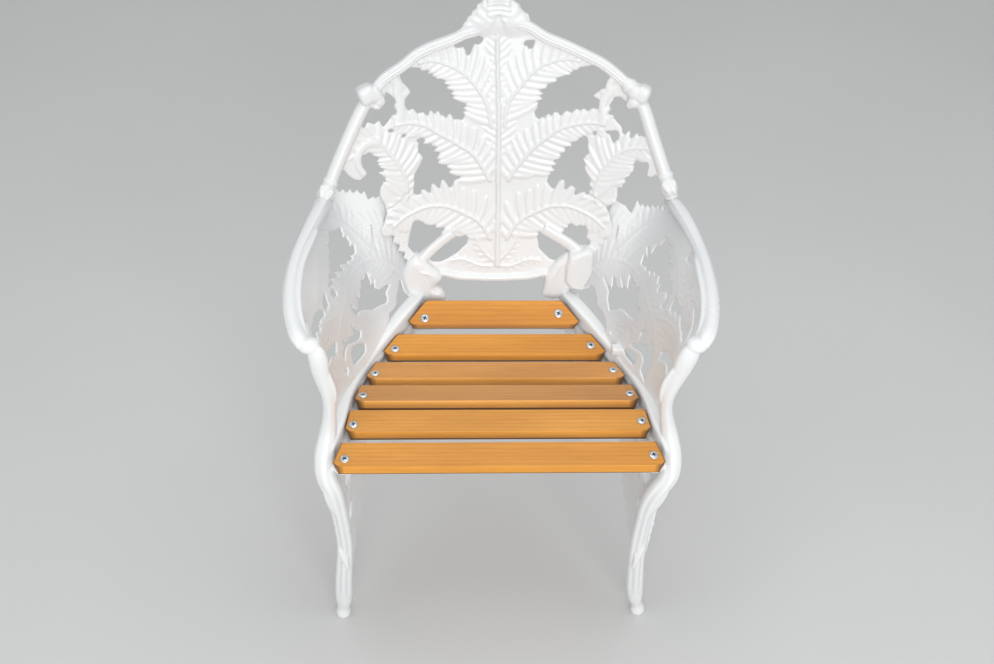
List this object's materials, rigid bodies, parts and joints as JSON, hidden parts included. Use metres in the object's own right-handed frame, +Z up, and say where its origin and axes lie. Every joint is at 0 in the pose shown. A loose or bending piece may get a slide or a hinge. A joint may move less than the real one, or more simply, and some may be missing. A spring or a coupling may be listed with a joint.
{
  "type": "garden armchair",
  "caption": "Garden armchair with openwork fern-pattern cast metal back and side frames, painted white, and wooden seat slats held by screws.",
  "frame": {"origin": "on the floor, at the middle of the chair's footprint box", "axes": "+Z up, +Y towards the chair's back, +X to the right of someone looking at the chair's front"},
  "size_m": [0.591, 0.5109, 0.9131],
  "materials": {
    "white_paint": "gloss paint over cast iron",
    "slat_wood": "oiled, satin",
    "zinc_screw": "zinc plated",
    "zinc_bolt": "zinc plated"
  },
  "bodies": {
    "root": {"back_casting": "white_paint", "side_casting_left": "white_paint", "side_casting_right": "white_paint", "slat_1_rear": "slat_wood", "slat_2": "slat_wood", "slat_3": "slat_wood", "slat_4": "slat_wood", "slat_5": "slat_wood", "slat_6_front": "slat_wood", "slat_screws": "zinc_screw", "slat_washers": "zinc_screw", "slat_nuts": "zinc_screw", "frame_bolts_upper": "zinc_bolt", "frame_bolts_lower": "zinc_bolt", "frame_washers": "zinc_bolt"}
  },
  "joints": []
}
